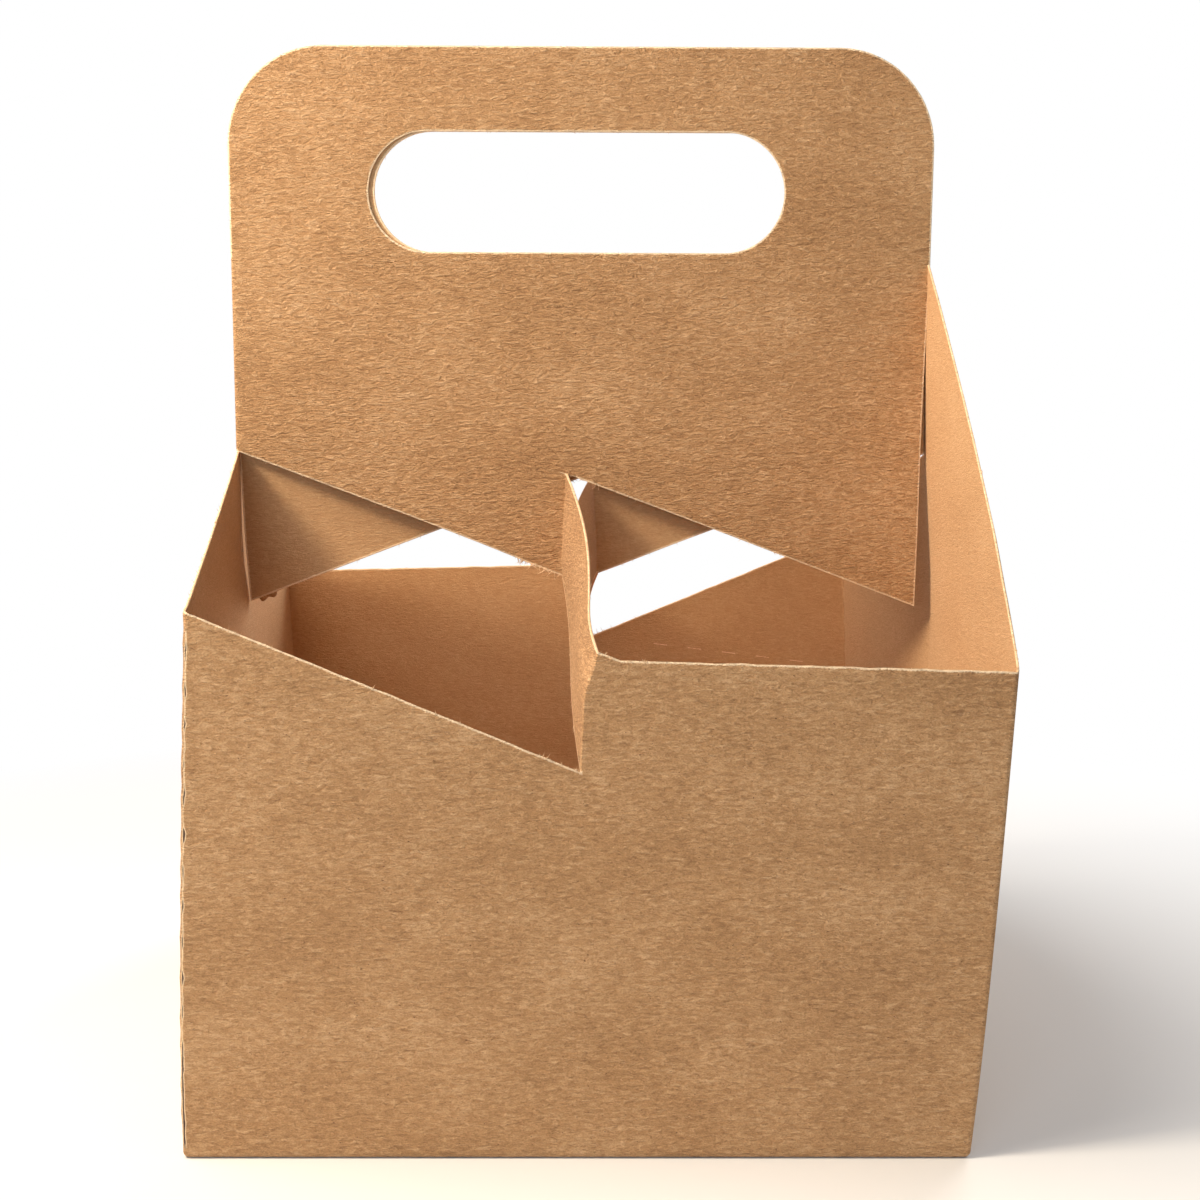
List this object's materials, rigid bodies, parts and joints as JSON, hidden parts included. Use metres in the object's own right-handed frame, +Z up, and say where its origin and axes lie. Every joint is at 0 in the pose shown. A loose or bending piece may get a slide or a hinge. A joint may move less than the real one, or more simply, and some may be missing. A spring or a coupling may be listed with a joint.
{
  "type": "cup carrier tray",
  "caption": "Folded kraft board carrier with a centre carrying handle and open cells that hold drinking cups upright.",
  "frame": {"origin": "middle of the base, on the surface that the carrier stands on", "axes": "+X along the handle, towards the right side wall; +Y towards the back panel; +Z up"},
  "size_m": [0.2176, 0.203, 0.294],
  "materials": {
    "kraft_board": "uncoated brown kraft board, outer face mottled and fibrous, cut edges pale"
  },
  "bodies": {
    "root": {"carrier": "kraft_board"}
  },
  "joints": []
}
